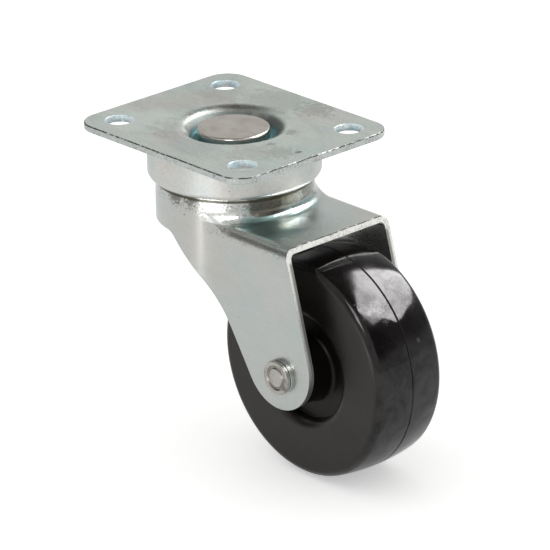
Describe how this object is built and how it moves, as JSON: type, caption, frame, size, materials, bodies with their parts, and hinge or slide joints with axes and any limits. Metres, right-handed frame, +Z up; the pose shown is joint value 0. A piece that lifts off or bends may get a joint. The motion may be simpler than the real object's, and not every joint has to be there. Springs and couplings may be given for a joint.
{
  "type": "swivel plate caster",
  "caption": "Small swivel caster: rectangular screw plate, ball-race swivel, stamped fork and a solid black wheel on a riveted axle.",
  "frame": {"origin": "middle of the top plate's upper face, on the kingpin's axis, which is also the middle of the four screw holes", "axes": "+Z up out of the top plate, +X towards the wheel's offset along the plate's length, +Y along the wheel's axle"},
  "size_m": [0.0827, 0.0458, 0.0715],
  "materials": {
    "zinc_plated_plate": "zinc-plated steel plate, satin, faintly mottled",
    "zinc_plated_sheet": "zinc-plated stamped sheet, bright satin",
    "rivet_steel": "bare steel rivet, worn satin top and polished sides",
    "race_steel": "pressed steel, oiled",
    "ball_steel": "polished ball steel",
    "black_hard_rubber": "moulded black hard rubber, glossy tread with scuffs, duller sides"
  },
  "bodies": {
    "plate": {"top_plate": "zinc_plated_plate", "upper_race_cup": "zinc_plated_sheet", "kingpin": "rivet_steel", "lower_race_cup": "race_steel", "lower_ball_01": "ball_steel", "lower_ball_02": "ball_steel", "lower_ball_03": "ball_steel", "lower_ball_04": "ball_steel", "lower_ball_05": "ball_steel", "lower_ball_06": "ball_steel", "lower_ball_07": "ball_steel", "lower_ball_08": "ball_steel"},
    "fork": {"fork": "zinc_plated_sheet", "axle": "rivet_steel", "axle_bushing": "race_steel", "upper_ball_01": "ball_steel", "upper_ball_02": "ball_steel", "upper_ball_03": "ball_steel", "upper_ball_04": "ball_steel", "upper_ball_05": "ball_steel", "upper_ball_06": "ball_steel", "upper_ball_07": "ball_steel", "upper_ball_08": "ball_steel", "upper_ball_09": "ball_steel", "upper_ball_10": "ball_steel", "upper_ball_11": "ball_steel", "upper_ball_12": "ball_steel"},
    "wheel": {"wheel": "black_hard_rubber"}
  },
  "joints": [
    {"name": "swivel", "type": "hinge", "parent": "plate", "child": "fork", "pos_m": [0, 0, 0], "axis": [0, 0, 1], "continuous": true},
    {"name": "wheel_spin", "type": "hinge", "parent": "fork", "child": "wheel", "pos_m": [0.0303, 0, -0.0461], "axis": [0, 1, 0], "continuous": true}
  ]
}
